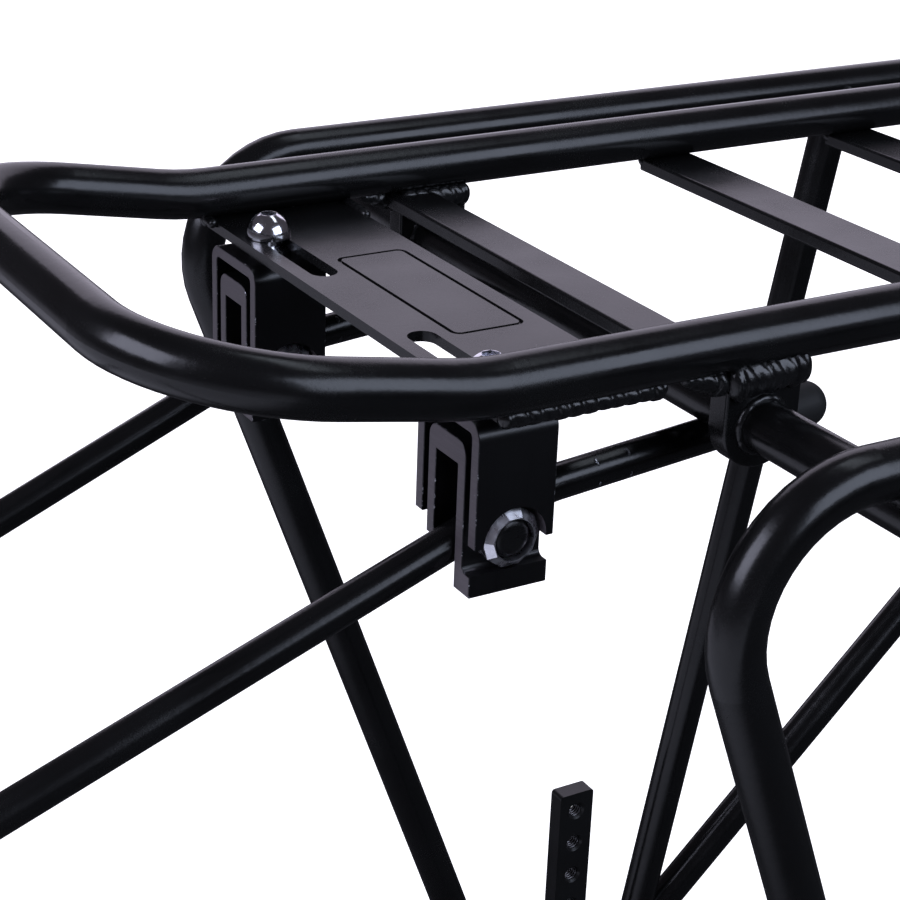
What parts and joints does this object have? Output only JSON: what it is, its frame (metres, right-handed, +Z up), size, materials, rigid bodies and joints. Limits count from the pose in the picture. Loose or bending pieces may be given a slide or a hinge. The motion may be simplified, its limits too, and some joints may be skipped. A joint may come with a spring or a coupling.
{
  "type": "bicycle rear rack",
  "caption": "Bicycle rear rack: bent-rod deck loop, flat crossbars, triangular side rails, sliding stay clamps with rod stays and hole-row foot bars.",
  "frame": {"origin": "midway between the two lower foot-bar eyelets, where the rack bolts to the bicycle's dropouts", "axes": "+X points rearward along the bicycle, +Y to the bicycle's right side, +Z up"},
  "size_m": [0.5453, 0.222, 0.4054],
  "materials": {
    "powder_coat": "satin black powder coat on aluminium rod and flat bar",
    "black_anodised": "black anodised, fine saw and mill lines on the cut ends",
    "chrome": "polished",
    "zinc_plate": "bright zinc plate",
    "black_oxide": "black oxide",
    "rubber": "matt"
  },
  "bodies": {
    "frame": {"deck_loop": "powder_coat", "front_plate": "powder_coat", "crossbar_1": "powder_coat", "crossbar_2": "powder_coat", "crossbar_3": "powder_coat", "crossbar_4": "powder_coat", "crossbar_5": "powder_coat", "crossbar_6": "powder_coat", "front_cross_tube": "powder_coat", "rear_cross_tube": "powder_coat", "front_left_ear": "powder_coat", "front_right_ear": "powder_coat", "rear_left_ear": "powder_coat", "rear_right_ear": "powder_coat", "left_side_rail": "powder_coat", "left_mid_leg": "powder_coat", "left_leg_bracket": "powder_coat", "right_side_rail": "powder_coat", "right_mid_leg": "powder_coat", "right_leg_bracket": "powder_coat", "lamp_bracket": "powder_coat"},
    "left_bolt": {"left_clamp_bolt": "chrome", "left_clamp_washer": "zinc_plate"},
    "left_clamp": {"left_outer_clamp": "black_anodised", "left_inner_clamp": "black_anodised", "left_ring_nut": "zinc_plate", "left_set_screw": "black_oxide"},
    "left_stay_rod": {"left_stay": "powder_coat", "left_stay_cap": "rubber"},
    "left_foot": {"left_foot_bar": "black_anodised", "left_foot_bolts": "black_oxide", "left_foot_washers": "black_oxide"},
    "right_bolt": {"right_clamp_bolt": "chrome", "right_clamp_washer": "zinc_plate"},
    "right_clamp": {"right_outer_clamp": "black_anodised", "right_inner_clamp": "black_anodised", "right_ring_nut": "zinc_plate", "right_set_screw": "black_oxide"},
    "right_stay_rod": {"right_stay": "powder_coat", "right_stay_cap": "rubber"},
    "right_foot": {"right_foot_bar": "black_anodised", "right_foot_bolts": "black_oxide", "right_foot_washers": "black_oxide"}
  },
  "joints": [
    {"name": "left_clamp_slide", "type": "slide", "parent": "frame", "child": "left_bolt", "axis": [0, 1, 0], "range_m": [0, 0.02]},
    {"name": "left_clamp_swivel", "type": "hinge", "parent": "left_bolt", "child": "left_clamp", "pos_m": [-0.1249, -0.0435, 0.377], "axis": [0, 0, 1], "range_deg": [-6, 6]},
    {"name": "left_stay_slide", "type": "slide", "parent": "left_clamp", "child": "left_stay_rod", "axis": [-0.9957, 0, -0.0926], "range_m": [-0.01, 0.01]},
    {"name": "left_foot_slide", "type": "slide", "parent": "frame", "child": "left_foot", "axis": [0, 0, 1], "range_m": [-0.007, 0.007]},
    {"name": "right_clamp_slide", "type": "slide", "parent": "frame", "child": "right_bolt", "axis": [0, -1, 0], "range_m": [0, 0.02]},
    {"name": "right_clamp_swivel", "type": "hinge", "parent": "right_bolt", "child": "right_clamp", "pos_m": [-0.1249, 0.0405, 0.377], "axis": [0, 0, 1], "range_deg": [-6, 6]},
    {"name": "right_stay_slide", "type": "slide", "parent": "right_clamp", "child": "right_stay_rod", "axis": [-0.9957, 0, -0.0926], "range_m": [-0.016, 0.004]},
    {"name": "right_foot_slide", "type": "slide", "parent": "frame", "child": "right_foot", "axis": [0, 0, 1], "range_m": [-0.007, 0.007]}
  ]
}
